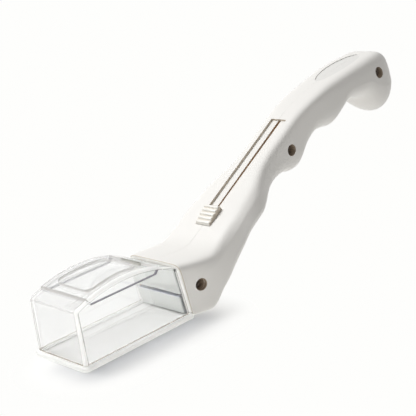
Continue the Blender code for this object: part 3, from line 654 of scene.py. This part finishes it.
def hood(name, bulge):
    """A clear hood, open below and behind: outer and inner skins, joined round the foot and the rear. The outer
    part of the foot's lower face takes a brown painted shade."""
    points, faces, rims = [], [], []
    start = 0
    for inset, radius in ((0.0, hood_round), (chamber_wall, hood_inner_round)):
        offsets = []
        for grid in hood_grids(inset, bulge, radius):
            rows, columns = grid.shape[:2]
            points.append(grid.reshape(-1, 3))
            faces.append(grid_faces(rows, columns, start, inset > 0))
            offsets.append(start + np.arange(rows * columns).reshape(rows, columns))
            start += rows * columns
        ring, front = offsets
        rims.append(np.concatenate([ring[0], ring[1:, -1], front[-1, ::-1], ring[::-1, 0]]))
    outer, inner = rims
    middle = start + np.arange(len(outer))
    points = np.concatenate(points)
    points = np.concatenate([points, points[outer] * (1 - foot_edge_share) + points[inner] * foot_edge_share])
    for first, second in ((outer, middle), (middle, inner)):
        joined = np.stack([first, np.roll(first, -1), np.roll(second, -1), second], axis=-1)
        faces.append(joined[joined[:, 0] != joined[:, 1]])
    made = surface_piece(name, points, np.concatenate(faces), clear_wall, merge=mm / 500)
    made.data.materials.append(wall_end_shade)
    # Painted shade: the outer part of the foot's lower face takes the brown wall-end colour.
    edge = foot_edge_share * chamber_wall
    for face in made.data.polygons:
        centre = face.center
        outside = abs(centre.y) > chamber_half_width - edge or centre.x + middle_x < edge
        face.material_index = int(centre.z < chamber_foot + mm / 100 and outside)
    return made


def cover_outline(inset):
    """The cover from the side: a level ledge, two slanted corners, and a flat top clear over the roof."""
    front, rear = cover_front + inset, cover_rear - inset
    ledge, corner, above = cover_ledge_z + inset, cover_corner_z + inset, roof_height + overrun
    return [
        (front + cover_step, corner), (front + cover_corner_run, ledge), (rear - cover_corner_run, ledge),
        (rear - cover_step, corner), (rear, above), (front, above),
    ]


def lens_outline(inset):
    """The magnifier from above: wide at the front, narrower at the rear, with round corners."""
    front, rear = lens_front + inset, lens_rear - inset
    wide, narrow = lens_front_half_width - inset, lens_rear_half_width - inset
    return rounded(((front, -wide), (rear, -narrow), (rear, narrow), (front, wide)), lens_corner, 12)


def cover_prism(name, inset):
    """The cover's outline from side to side. Its cut faces take a pale grey painted shade, and its level ledges
    and slanted corners the skirt's darker painted shade.
    """
    made = prism(name, cover_outline(inset), -frame_half_width, frame_half_width, material=clear_edge)
    made.data.materials.append(skirt_edge)
    for face in made.data.polygons:
        face.material_index = int(face.normal.z < -0.2)
    return made


def chamber_hood():
    """The chamber's clear walls and roof edges, with the cover's place cut out."""
    made = hood("chamber_hood", 0.0)
    carve(made, "DIFFERENCE", cover_prism("cover_cut", 0.0))
    return finish_piece(made, ["chamber_box"], "housing", bevel=clear_bevel, segments=2)


def magnifier_cover():
    """The cover in the roof, a little proud of it, with the lens's opening and a pull slot."""
    made = hood("magnifier_cover", cover_bulge)
    carve(made, "INTERSECT", cover_prism("cover_block", cover_gap))
    above, half = roof_height + overrun, pull_slot_half_width
    opening = prism("lens_cut", lens_outline(0.0), seam_height - overrun, above, "Z", clear_edge)
    slot = rounded(oblong(pull_slot_rear - pull_slot_length, pull_slot_rear, -half, half), pull_slot_corner)
    pull_slot = prism("pull_slot", slot, seam_height, above, "Z", slot_edge)
    carve(made, "DIFFERENCE", opening, pull_slot)
    return finish_piece(made, ["lens_cover"], "housing", bevel=clear_bevel, segments=2)


def crowned_lens():
    """The lens: its faces follow the roof, raised by a crown that falls off as the square of the share."""
    made = two_faced(
        "crowned_lens",
        lens_outline(fit),
        24,
        lambda x, y, share: roof_z(x) + cover_bulge + lens_crown * (1 - share**2),
        lambda x, y, share: roof_z(x, chamber_wall) + cover_bulge - lens_crown * (1 - share**2),
        clear_lens,
    )
    return finish_piece(made, ["magnifier_lens"], "housing", bevel=lens_bevel)


def base_rim():
    """The rim round the chamber's foot: a rounded outline with round edges, opened, grooved and cut. Its rings
    are insets of the outline, and an inset by half its size is the middle, which closes top and bottom."""
    rear = seam_x(frame_height) - fit
    beyond, above = rear + overrun + frame_corner, frame_height + overrun
    outline = oblong(-frame_rim, rear + frame_corner, -frame_half_width, frame_half_width)
    outline = rounded(outline, frame_corner, 16)
    centre = (outline.min(axis=0) + outline.max(axis=0)) / 2
    half = (outline.max(axis=0) - outline.min(axis=0)) / 2
    around = np.concatenate([outline, outline[:1]])
    turns = np.linspace(0, math.pi / 2, 9)
    insets, drops = frame_round * (1 - np.cos(turns)), frame_round * (1 - np.sin(turns))
    levels = [(half, 0.0), *zip(insets[::-1], drops[::-1])]
    levels += [*zip(insets, frame_height - drops), (half, frame_height)]
    grid = np.stack([
        np.column_stack([centre + (around - centre) * (1 - inset / half), np.full(len(around), z)])
        for inset, z in levels
    ])
    made = surface_piece("base_rim", grid, grid_faces(*grid.shape[:2]), rim_white, merge=mm / 1000)
    inside = chamber_half_width - chamber_wall
    outline = oblong(chamber_wall, beyond, -inside, inside)
    # The ledge inside the chamber takes the door sheet's darker colour: a painted shade for the chamber's
    # shadow on it.
    ledge = prism("ledge", outline, frame_height - ledge_drop, above, "Z", door_white)
    inside = frame_opening_half_width
    outline = oblong(frame_opening_front, beyond + overrun, -inside, inside)
    opening = prism("opening", rounded(outline, frame_opening_corner), -overrun, above, "Z")
    inside += groove_depth
    outline = oblong(frame_opening_front - groove_depth - fit, beyond, -inside, inside)
    groove = prism("groove", outline, groove_floor, groove_floor + groove_height, "Z")
    reach = frame_half_width + overrun
    rear_cut = prism("rear_cut", oblong(rear, beyond, -reach, reach), -overrun, above, "Z")
    carve(made, "DIFFERENCE", ledge, opening, groove, rear_cut)
    return finish_piece(made, ["base_frame"], "housing")


def refined_copy(node, name, material):
    """A copy of a CAD node with its doubles merged and its flat faces rejoined."""
    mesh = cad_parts[node].data.copy()
    shape = bmesh.new()
    shape.from_mesh(mesh)
    bmesh.ops.remove_doubles(shape, verts=shape.verts, dist=mm / 1000)
    bmesh.ops.dissolve_limit(shape, angle_limit=math.radians(1), verts=shape.verts, edges=shape.edges)
    shape.to_mesh(mesh)
    shape.free()
    mesh.materials.clear()
    mesh.materials.append(material)
    return linked(name, mesh)


def side_slots(half, low, high):
    """Two upright slots, parallel to the leaning seam, from the sides at the half width inwards."""
    slots = []
    for sign in (-1, 1):
        outline = [
            (seam_x(z) + slot_middle + shift * slot_half_width, z)
            for z, shift in ((low - fit, -1), (low - fit, 1), (high, 1), (high, -1))
        ]
        near, far = sorted((sign * (half - slot_depth), sign * (half + overrun)))
        slots.append(prism(f"slot_{sign}", outline, near, far, material=gap_shade))
    return slots


def bulkhead_block():
    """The bulkhead with a full-height slot in each side, in which the chamber's wall hooks. The slots' walls
    take a dark painted shade.
    """
    made = refined_copy("bulkhead", "bulkhead_block", panel_white)
    low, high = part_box("bulkhead")
    carve(made, "DIFFERENCE", *side_slots(high[1], low[2], seam_height - slot_end_margin))
    return finish_piece(made, ["bulkhead"], "housing", bevel=panel_bevel)


def guide_block():
    """The door guide. Its top, under the bulkhead, is cut back by a hair, lies in the dark and takes a pale
    bluish painted shade.
    """
    made = refined_copy("door_guide", "door_guide_block", panel_white)
    low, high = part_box("door_guide")
    front, rear = chamber_length - 3 * overrun, chamber_length + 2 * overrun
    outline = oblong(front, rear, high[2] - guide_top_drop, high[2] + overrun)
    top = prism("guide_top", outline, -frame_half_width, frame_half_width, material=pale_gap_shade)
    carve(made, "DIFFERENCE", top)
    carve(made, "DIFFERENCE", *side_slots(high[1], low[2], high[2]))
    return finish_piece(made, ["door_guide"], "housing", bevel=panel_bevel)


def ribbed_button():
    """The thumb button: a wedge with round ribs across it, its sides and ends rolled over, and a barbed stem.
    Its top is a quarter sine from the front height to the full height plus a rib's rounded pulse."""
    along = np.linspace(0, 1, 141)
    phase = (along * rib_count) % 1
    across_rib = np.clip((phase - rib_start_share) / rib_length_share, 0, 1)
    pulse = np.clip(np.sin(across_rib * math.pi) * rib_fullness, 0, 1)
    height = button_front_height + button_swell * np.sin(along * math.pi / 2) + rib_height * pulse
    edge = np.minimum(along, 1 - along) * button_length
    height -= button_end_round * (1 - np.sqrt(1 - np.clip(1 - edge / button_end_round, 0, 1) ** 2))
    foot = -channel_depth + fit
    half = button_half_width
    turn = np.linspace(0, math.pi / 2, 7)[::-1]
    side = half - button_side_round * (1 - np.sin(turn))
    drop = button_side_round * (1 - np.cos(turn))
    y = np.concatenate([[0.0, half], side, [0.0], -side[::-1], [-half, 0.0]])
    dip = np.concatenate([[0, 0], drop, [0], drop[::-1], [0, 0]])
    is_top = np.zeros(len(y), bool)
    is_top[2:-2] = True
    out = np.where(is_top, height[:, None] - dip, foot)
    grid = slope_points(button_start + along[:, None] * button_length, y, out)
    count = grid.shape[1]
    last = (grid.shape[0] - 1) * count
    caps = [list(range(count - 1))[::-1], [last + index for index in range(count - 1)]]
    faces = [*grid_faces(*grid.shape[:2]).tolist(), *caps]
    made = surface_piece("ribbed_button", grid, faces, button_white, merge=mm / 1000)
    # Painted shade: the sides take the brown channel shade, and the grooves between the ribs a beige shade.
    made.data.materials.append(channel_shade)
    made.data.materials.append(groove_shade)
    for face in made.data.polygons:
        x, z = face.center.x + middle_x - slope_x, face.center.z - slope_z
        run = ((x * math.cos(slope) + z * math.sin(slope) - button_start) / button_length * rib_count) % 1
        in_groove = run < groove_end_share or run > groove_start_share
        face.material_index = 1 if abs(face.normal.y) > 0.85 else 2 * int(in_groove and face.normal.z > 0.3)
    right = ((stem_half_width, barb_tip), (barb_half_width, barb_top), (stem_half_width, barb_top),
             (stem_half_width, foot + fit))
    profile = np.array([*((-wide, out) for wide, out in right[::-1]), *right])
    middle = button_start + button_length / 2
    ends = np.array([[middle - stem_half_length], [middle + stem_half_length]])
    carve(made, "UNION", swept("stem", slope_points(ends, profile[:, 0], profile[:, 1])))
    return finish_piece(made, ["thumb_button"], "slider")


def sliding_sheet():
    """The door's wide sheet, with a mesh of its own."""
    outline = oblong(door_front, seam_x(door_middle_z) - fit, -door_half_width, door_half_width)
    low, high = door_middle_z - door_thickness / 2, door_middle_z + door_thickness / 2
    made = prism("sliding_sheet", rounded(outline, door_corner, 10), low, high, "Z", door_white)
    finish_piece(made, ["door_sheet"], "door", bevel=door_bevel)
    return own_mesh(made)


class Wire:
    """A socket with the operators of shader maths, each of which adds its Math node."""

    def __init__(self, finish, socket):
        self.finish, self.socket = finish, socket

    def maths(self, operation, other=0.0):
        return self.finish.node("ShaderNodeMath", {0: self, 1: other}, operation=operation)

    def __add__(self, other):
        return self.maths("ADD", other)

    def __sub__(self, other):
        return self.maths("SUBTRACT", other)

    def __mul__(self, other):
        return self.maths("MULTIPLY", other)

    __radd__, __rmul__ = __add__, __mul__


class Finish:
    """The node tree of a material or the world. One method makes any node: its sockets, output and settings."""

    def __init__(self, name, group=bpy.data.materials, coordinates="Object"):
        self.owner = group.new(name)
        self.owner.use_nodes = True
        self.tree = self.owner.node_tree
        self.tree.nodes.clear()
        self.place = self.node("ShaderNodeTexCoord", out=coordinates)

    def node(self, kind, sockets=None, out=0, **settings):
        made = self.tree.nodes.new(kind)
        for key, value in settings.items():
            setattr(made, key, value)
        for key, value in (sockets or {}).items():
            if isinstance(value, Wire):
                self.tree.links.new(value.socket, made.inputs[key])
            else:
                made.inputs[key].default_value = value
        return Wire(self, made.outputs[out])

    def axes(self):
        """X, Y and Z of the place, one wire each."""
        first = self.node("ShaderNodeSeparateXYZ", {0: self.place})
        return [Wire(self, socket) for socket in first.socket.node.outputs]

    def rise(self, value, start, run):
        """0 up to the start and 1 past the run, with a smooth rise between."""
        sockets = {"Value": value, "From Min": start, "From Max": start + run}
        return self.node("ShaderNodeMapRange", sockets, interpolation_type="SMOOTHSTEP")

    def noise(self, scale, detail=2.0, roughness=0.5):
        sockets = {"Vector": self.place, "Scale": scale, "Detail": detail, "Roughness": roughness}
        return self.node("ShaderNodeTexNoise", sockets)

    def blend(self, share, first, second):
        made = self.node("ShaderNodeMix", data_type="RGBA").socket.node
        named = {socket.identifier: socket for socket in made.inputs}
        self.tree.links.new(share.socket, named["Factor_Float"])
        named["A_Color"].default_value = (*first, 1)
        named["B_Color"].default_value = (*second, 1)
        return Wire(self, next(socket for socket in made.outputs if socket.type == "RGBA"))

    def darkened(self, share, colour, least):
        """The colour, darkened towards its least share."""
        return self.blend(share, colour, [least * part for part in colour])

    def bump(self, height, strength, distance):
        return self.node("ShaderNodeBump", {"Height": height, "Strength": strength, "Distance": distance})

    def principled(self, sockets):
        return self.node("ShaderNodeBsdfPrincipled", sockets)

    def surface(self, made, kind="ShaderNodeOutputMaterial"):
        self.tree.links.new(made.socket, self.tree.nodes.new(kind).inputs["Surface"])
        return self.owner

    def shader(self, sockets):
        return self.surface(self.principled(sockets))

    def mixed(self, share, first, second, kind="ShaderNodeOutputMaterial"):
        return self.surface(self.node("ShaderNodeMixShader", {0: share, 1: first, 2: second}), kind)


def moulded_plastic(name, colour, shade, roughness, depth=0.5):
    """Satin moulded plastic: a fine grain, a faint drift of tone and a gloss that varies with both."""
    finish = Finish(name)
    drift, fine, broad = finish.noise(22.0, 3.0), finish.noise(1400.0, 3.0, 0.6), finish.noise(160.0)
    return finish.shader({
        "Base Color": finish.blend(drift * 0.6 + broad * 0.2, colour, shade),
        "Roughness": fine * 0.08 + drift * 0.05 + (roughness - 0.06),
        "IOR": 1.46,
        "Normal": finish.bump(fine * 0.7 + broad * 0.3, depth, 0.04 * mm),
    })


def painted_glow_inside(name, colour, glow, strength):
    """The inside of a thin wall: a warmer colour and a painted glow stand in for the light that comes through
    the plastic.
    """
    finish = Finish(name)
    drift = finish.noise(30.0)
    return finish.shader({
        "Base Color": finish.darkened(drift, colour, 0.94),
        "Roughness": drift * 0.1 + 0.4,
        "Emission Color": (*glow, 1),
        "Emission Strength": strength,
    })


def frosted_rim(name, colour, roughness):
    """Milky plastic that lets light through, with a painted glow that keeps it bright on the side turned from
    the light.
    """
    finish = Finish(name)
    drift, fine = finish.noise(30.0), finish.noise(1200.0)
    return finish.shader({
        "Base Color": finish.darkened(drift * 0.7, colour, 0.97),
        "Roughness": fine * 0.06 + roughness,
        "IOR": 1.3,
        "Transmission Weight": 0.5,
        # A painted glow: the rim gives off a little light of its own.
        "Emission Color": (1.0, 1.0, 0.98, 1),
        "Emission Strength": 0.1,
        "Normal": finish.bump(fine, 0.3, 0.03 * mm),
    })


def clear_moulding(name, tint, corner_light_tint, strength):
    """Clear plastic with painted light where two walls meet: a glowing white that turns to a painted dark line
    where it fades out.
    Nearness to the front, to a side and to the roof's arc are each 0 to 1, and the painted light's share is
    nearness to a side times the others, or nearness to the rear."""
    finish = Finish(name)
    x, y, z = finish.axes()
    near_side = finish.rise(y.maths("ABSOLUTE"), chamber_half_width - corner_band, corner_soft)
    near_front = finish.rise(x * -1.0, middle_x - front_band, front_soft)
    over_x, over_z = x + (middle_x - roof_peak_x), z - (roof_height - roof_radius)
    from_centre = (over_x * over_x + over_z * over_z).maths("SQRT")
    near_roof = finish.rise(from_centre, roof_radius - corner_band, corner_soft)
    level_x = x + z * (seam_lean / seam_height)
    near_rear = finish.rise(level_x, chamber_length - middle_x - rear_band, corner_soft)
    brow = finish.rise(near_front * near_roof, 0.9, 0.1)
    thick = near_side * near_front + near_side * near_roof + near_rear + brow * 0.12
    corner_light_share = finish.rise(thick, 0.35, 0.4)
    fine = finish.noise(900.0)
    clear = finish.principled({
        "Base Color": (*tint, 1),
        "Roughness": fine * 0.03,
        "IOR": 1.25,
        "Transmission Weight": 1.0,
        "Alpha": clear_alpha,
        "Normal": finish.bump(finish.noise(60.0), 0.05, 0.2 * mm),
    })
    # Painted light and shade: a white that glows a little where walls meet, dark brown-grey where its share is
    # low, which paints a shaded line at each band's edge.
    painted_corner_light = finish.principled({
        "Base Color": finish.blend(corner_light_share, (0.34, 0.31, 0.29), corner_light_tint),
        "Roughness": fine * 0.1 + 0.25,
        "IOR": 1.3,
        "Transmission Weight": 0.5,
        "Alpha": 0.9,
        "Emission Color": finish.blend(corner_light_share, (0.1, 0.1, 0.1), (1.0, 1.0, 0.98)),
        "Emission Strength": 0.2,
    })
    return finish.mixed(finish.rise(thick, 0.0, 0.35) * strength, clear, painted_corner_light)


def edge_plastic(name, colour, alpha):
    """A cut edge of clear plastic, with the shade of what is round it painted into its colour."""
    finish = Finish(name)
    drift = finish.noise(90.0)
    tone = finish.darkened(drift, colour, 0.85)
    return finish.shader({"Base Color": tone, "Roughness": drift * 0.1 + 0.3, "IOR": 1.3, "Alpha": alpha})


shell_white = moulded_plastic("ivory shell plastic", (0.87, 0.86, 0.835), (0.845, 0.83, 0.80), 0.42)
button_white = moulded_plastic("ivory button plastic", (0.87, 0.86, 0.82), (0.84, 0.82, 0.77), 0.38)
rim_white = frosted_rim("frosted rim plastic", (0.93, 0.935, 0.92), 0.3)
panel_white = moulded_plastic("white panel plastic", (0.81, 0.83, 0.81), (0.78, 0.80, 0.78), 0.45)
door_white = moulded_plastic("pale door sheet", (0.75, 0.75, 0.74), (0.73, 0.73, 0.72), 0.35, depth=0.3)
screw_dark = moulded_plastic("dark screw steel", (0.20, 0.17, 0.14), (0.14, 0.11, 0.09), 0.4)
recess_shade = moulded_plastic("shaded recess plastic", (0.50, 0.41, 0.32), (0.42, 0.34, 0.26), 0.5)
channel_shade = moulded_plastic("shaded channel plastic", (0.64, 0.57, 0.48), (0.59, 0.52, 0.43), 0.5)
gap_shade = moulded_plastic("shaded gap plastic", (0.34, 0.36, 0.42), (0.28, 0.30, 0.36), 0.5)
# A pale bluish painted shade for the line under the bulkhead.
pale_gap_shade = moulded_plastic("pale gap plastic", (0.76, 0.78, 0.87), (0.72, 0.74, 0.83), 0.5)
oval_shade = moulded_plastic("sunk oval plastic", (0.80, 0.795, 0.775), (0.775, 0.765, 0.74), 0.5)
groove_shade = moulded_plastic("shaded groove plastic", (0.72, 0.68, 0.60), (0.68, 0.63, 0.55), 0.45)
# The shell's inside takes a painted warm glow.
shell_inside = painted_glow_inside("inside of the shell", (0.80, 0.68, 0.54), (1.0, 0.66, 0.40), 0.05)
clear_wall = clear_moulding("clear chamber plastic", (0.985, 0.988, 0.988), (0.98, 0.98, 0.97), 0.85)
clear_lens = clear_moulding("clear lens plastic", (0.99, 0.993, 0.996), (0.98, 0.98, 0.97), 0.0)
# Painted shade on the clear plastic's cut edges: pale grey round the cover and lens, brown at the walls' foot,
# darker in the pull slot and on the skirt.
clear_edge = edge_plastic("clear cut edge", (0.84, 0.82, 0.80), 0.75)
wall_end_shade = edge_plastic("end of the clear wall", (0.34, 0.27, 0.20), 0.75)
slot_edge = edge_plastic("shaded slot edge", (0.44, 0.43, 0.38), 0.9)
skirt_edge = edge_plastic("shaded skirt edge", (0.24, 0.23, 0.27), 0.95)

handle_shell("handle_shell_right_moulding", -1)
handle_shell("handle_shell_left_moulding", 1)
chamber_hood()
magnifier_cover()
crowned_lens()
base_rim()
bulkhead_block()
guide_block()
ribbed_button()
sliding_sheet()
for node, material in (
    ("door_ramp", panel_white), ("slider_carriage", panel_white), ("door_tail", door_white),
    ("case_screw_front", screw_dark), ("case_screw_middle", screw_dark), ("case_screw_rear", screw_dark),
):
    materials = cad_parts[node].data.materials
    materials.clear()
    materials.append(material)
tongue = refined_copy("door_bend", "door_tongue", door_white)
finish_piece(tongue, ["door_bend"], "slider")
tongue_end = slope_points(-tongue_back, 0.0, -tongue_drop) - (middle_x, 0, 0)
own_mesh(tongue)


def pale_floor():
    """The floor: a white that gives light back, and where it is looked at a plain glow. Near a rectangle under
    the chamber and the heel it takes their shadow and a painted shadow, a darker tone that fades by a smooth
    step of the distance from there. The light it gives back gets a painted fill glow that fades away from the
    same rectangle."""
    far = floor_reach
    mesh = bpy.data.meshes.new("pale_floor")
    mesh.from_pydata([(-far, -far, 0), (far, -far, 0), (far, far, 0), (-far, far, 0)], [], [(0, 1, 2, 3)])
    floor = linked("pale_floor", mesh)
    floor.location.z = -floor_drop
    finish = Finish("pale floor")
    rays = [finish.node("ShaderNodeLightPath", out=kind)
            for kind in ("Is Camera Ray", "Is Transmission Ray", "Is Glossy Ray")]
    seen = (rays[0] + rays[1] + rays[2]).maths("MINIMUM", 1.0)
    beside = [((axis - middle).maths("ABSOLUTE") - reach).maths("MAXIMUM")
              for axis, (middle, reach) in zip(finish.axes(), (shade_along, shade_across))]
    away = (beside[0] * beside[0] + beside[1] * beside[1]).maths("SQRT")
    clear_of = finish.rise(away, shade_start, shade_run)

    def glow(colour):
        return finish.node("ShaderNodeEmission", {"Color": colour})

    def dull(colour):
        return finish.node("ShaderNodeBsdfDiffuse", {"Color": colour})

    # A painted fill glow: near the chamber and the heel the floor gives off light, which lights the catcher
    # from below.
    painted_fill_glow = glow(finish.blend(finish.rise(away, 0.0, fill_glow_run), (0.46, 0.455, 0.445), (0.1, 0.1, 0.1)))
    bounced = finish.node("ShaderNodeAddShader", {0: dull((0.84, 0.83, 0.81, 1)), 1: painted_fill_glow})
    # Painted shadow: near the rectangle the floor's colour and glow are darker.
    shaded = dull(finish.blend(clear_of, (0.24, 0.245, 0.26), (0.5, 0.5, 0.5)))
    lifted = glow(finish.blend(clear_of, (0.28, 0.285, 0.29), (0.5, 0.5, 0.49)))
    near = finish.node("ShaderNodeAddShader", {0: shaded, 1: lifted})
    share = finish.rise(away, plain_start, plain_run)
    shown = finish.node("ShaderNodeMixShader", {0: share, 1: near, 2: glow((0.99, 0.99, 0.975, 1))})
    mesh.materials.append(finish.mixed(seen, bounced, shown))


def studio_world():
    """A pale studio: white where it is looked at, reflected or seen through, and softer as light, with more
    of it from overhead than from the sides."""
    finish = Finish("pale studio", bpy.data.worlds, "Generated")
    bpy.context.scene.world = finish.owner
    sockets = {"Value": finish.axes()[2], "To Min": sky_low, "To Max": sky_high}
    strength = finish.node("ShaderNodeMapRange", sockets)
    seen = finish.node("ShaderNodeBackground", {"Color": (1, 1, 0.99, 1), "Strength": 1.0})
    lit = finish.node("ShaderNodeBackground", {"Color": (1.0, 0.985, 0.965, 1), "Strength": strength})
    bounced = finish.node("ShaderNodeLightPath", out="Is Diffuse Ray")
    finish.mixed(bounced, seen, lit, "ShaderNodeOutputWorld")


def key_lamp():
    """The one soft lamp, high behind the catcher's far side."""
    lamp = bpy.data.lights.new("key_lamp", "AREA")
    lamp.shape = "DISK"
    lamp.size, lamp.energy = lamp_size, lamp_power
    made = linked("key_lamp", lamp)
    made.location = lamp_place
    made.rotation_euler = (Vector(lamp_aim) - Vector(lamp_place)).to_track_quat("-Z", "Y").to_euler()


def photo_camera():
    """The camera at the photograph's viewing point, with its lens and its slight roll."""
    lens = bpy.data.cameras.new("photo_camera")
    lens.sensor_width = 36.0
    lens.lens = camera_lens
    lens.clip_start, lens.clip_end = 0.05, 20.0
    camera = linked("photo_camera", lens)
    camera.location = camera_place
    camera.rotation_euler = [math.radians(angle) for angle in camera_angles]
    bpy.context.scene.camera = camera


pale_floor()
studio_world()
key_lamp()
photo_camera()
bpy.context.scene.view_settings.view_transform = "Standard"
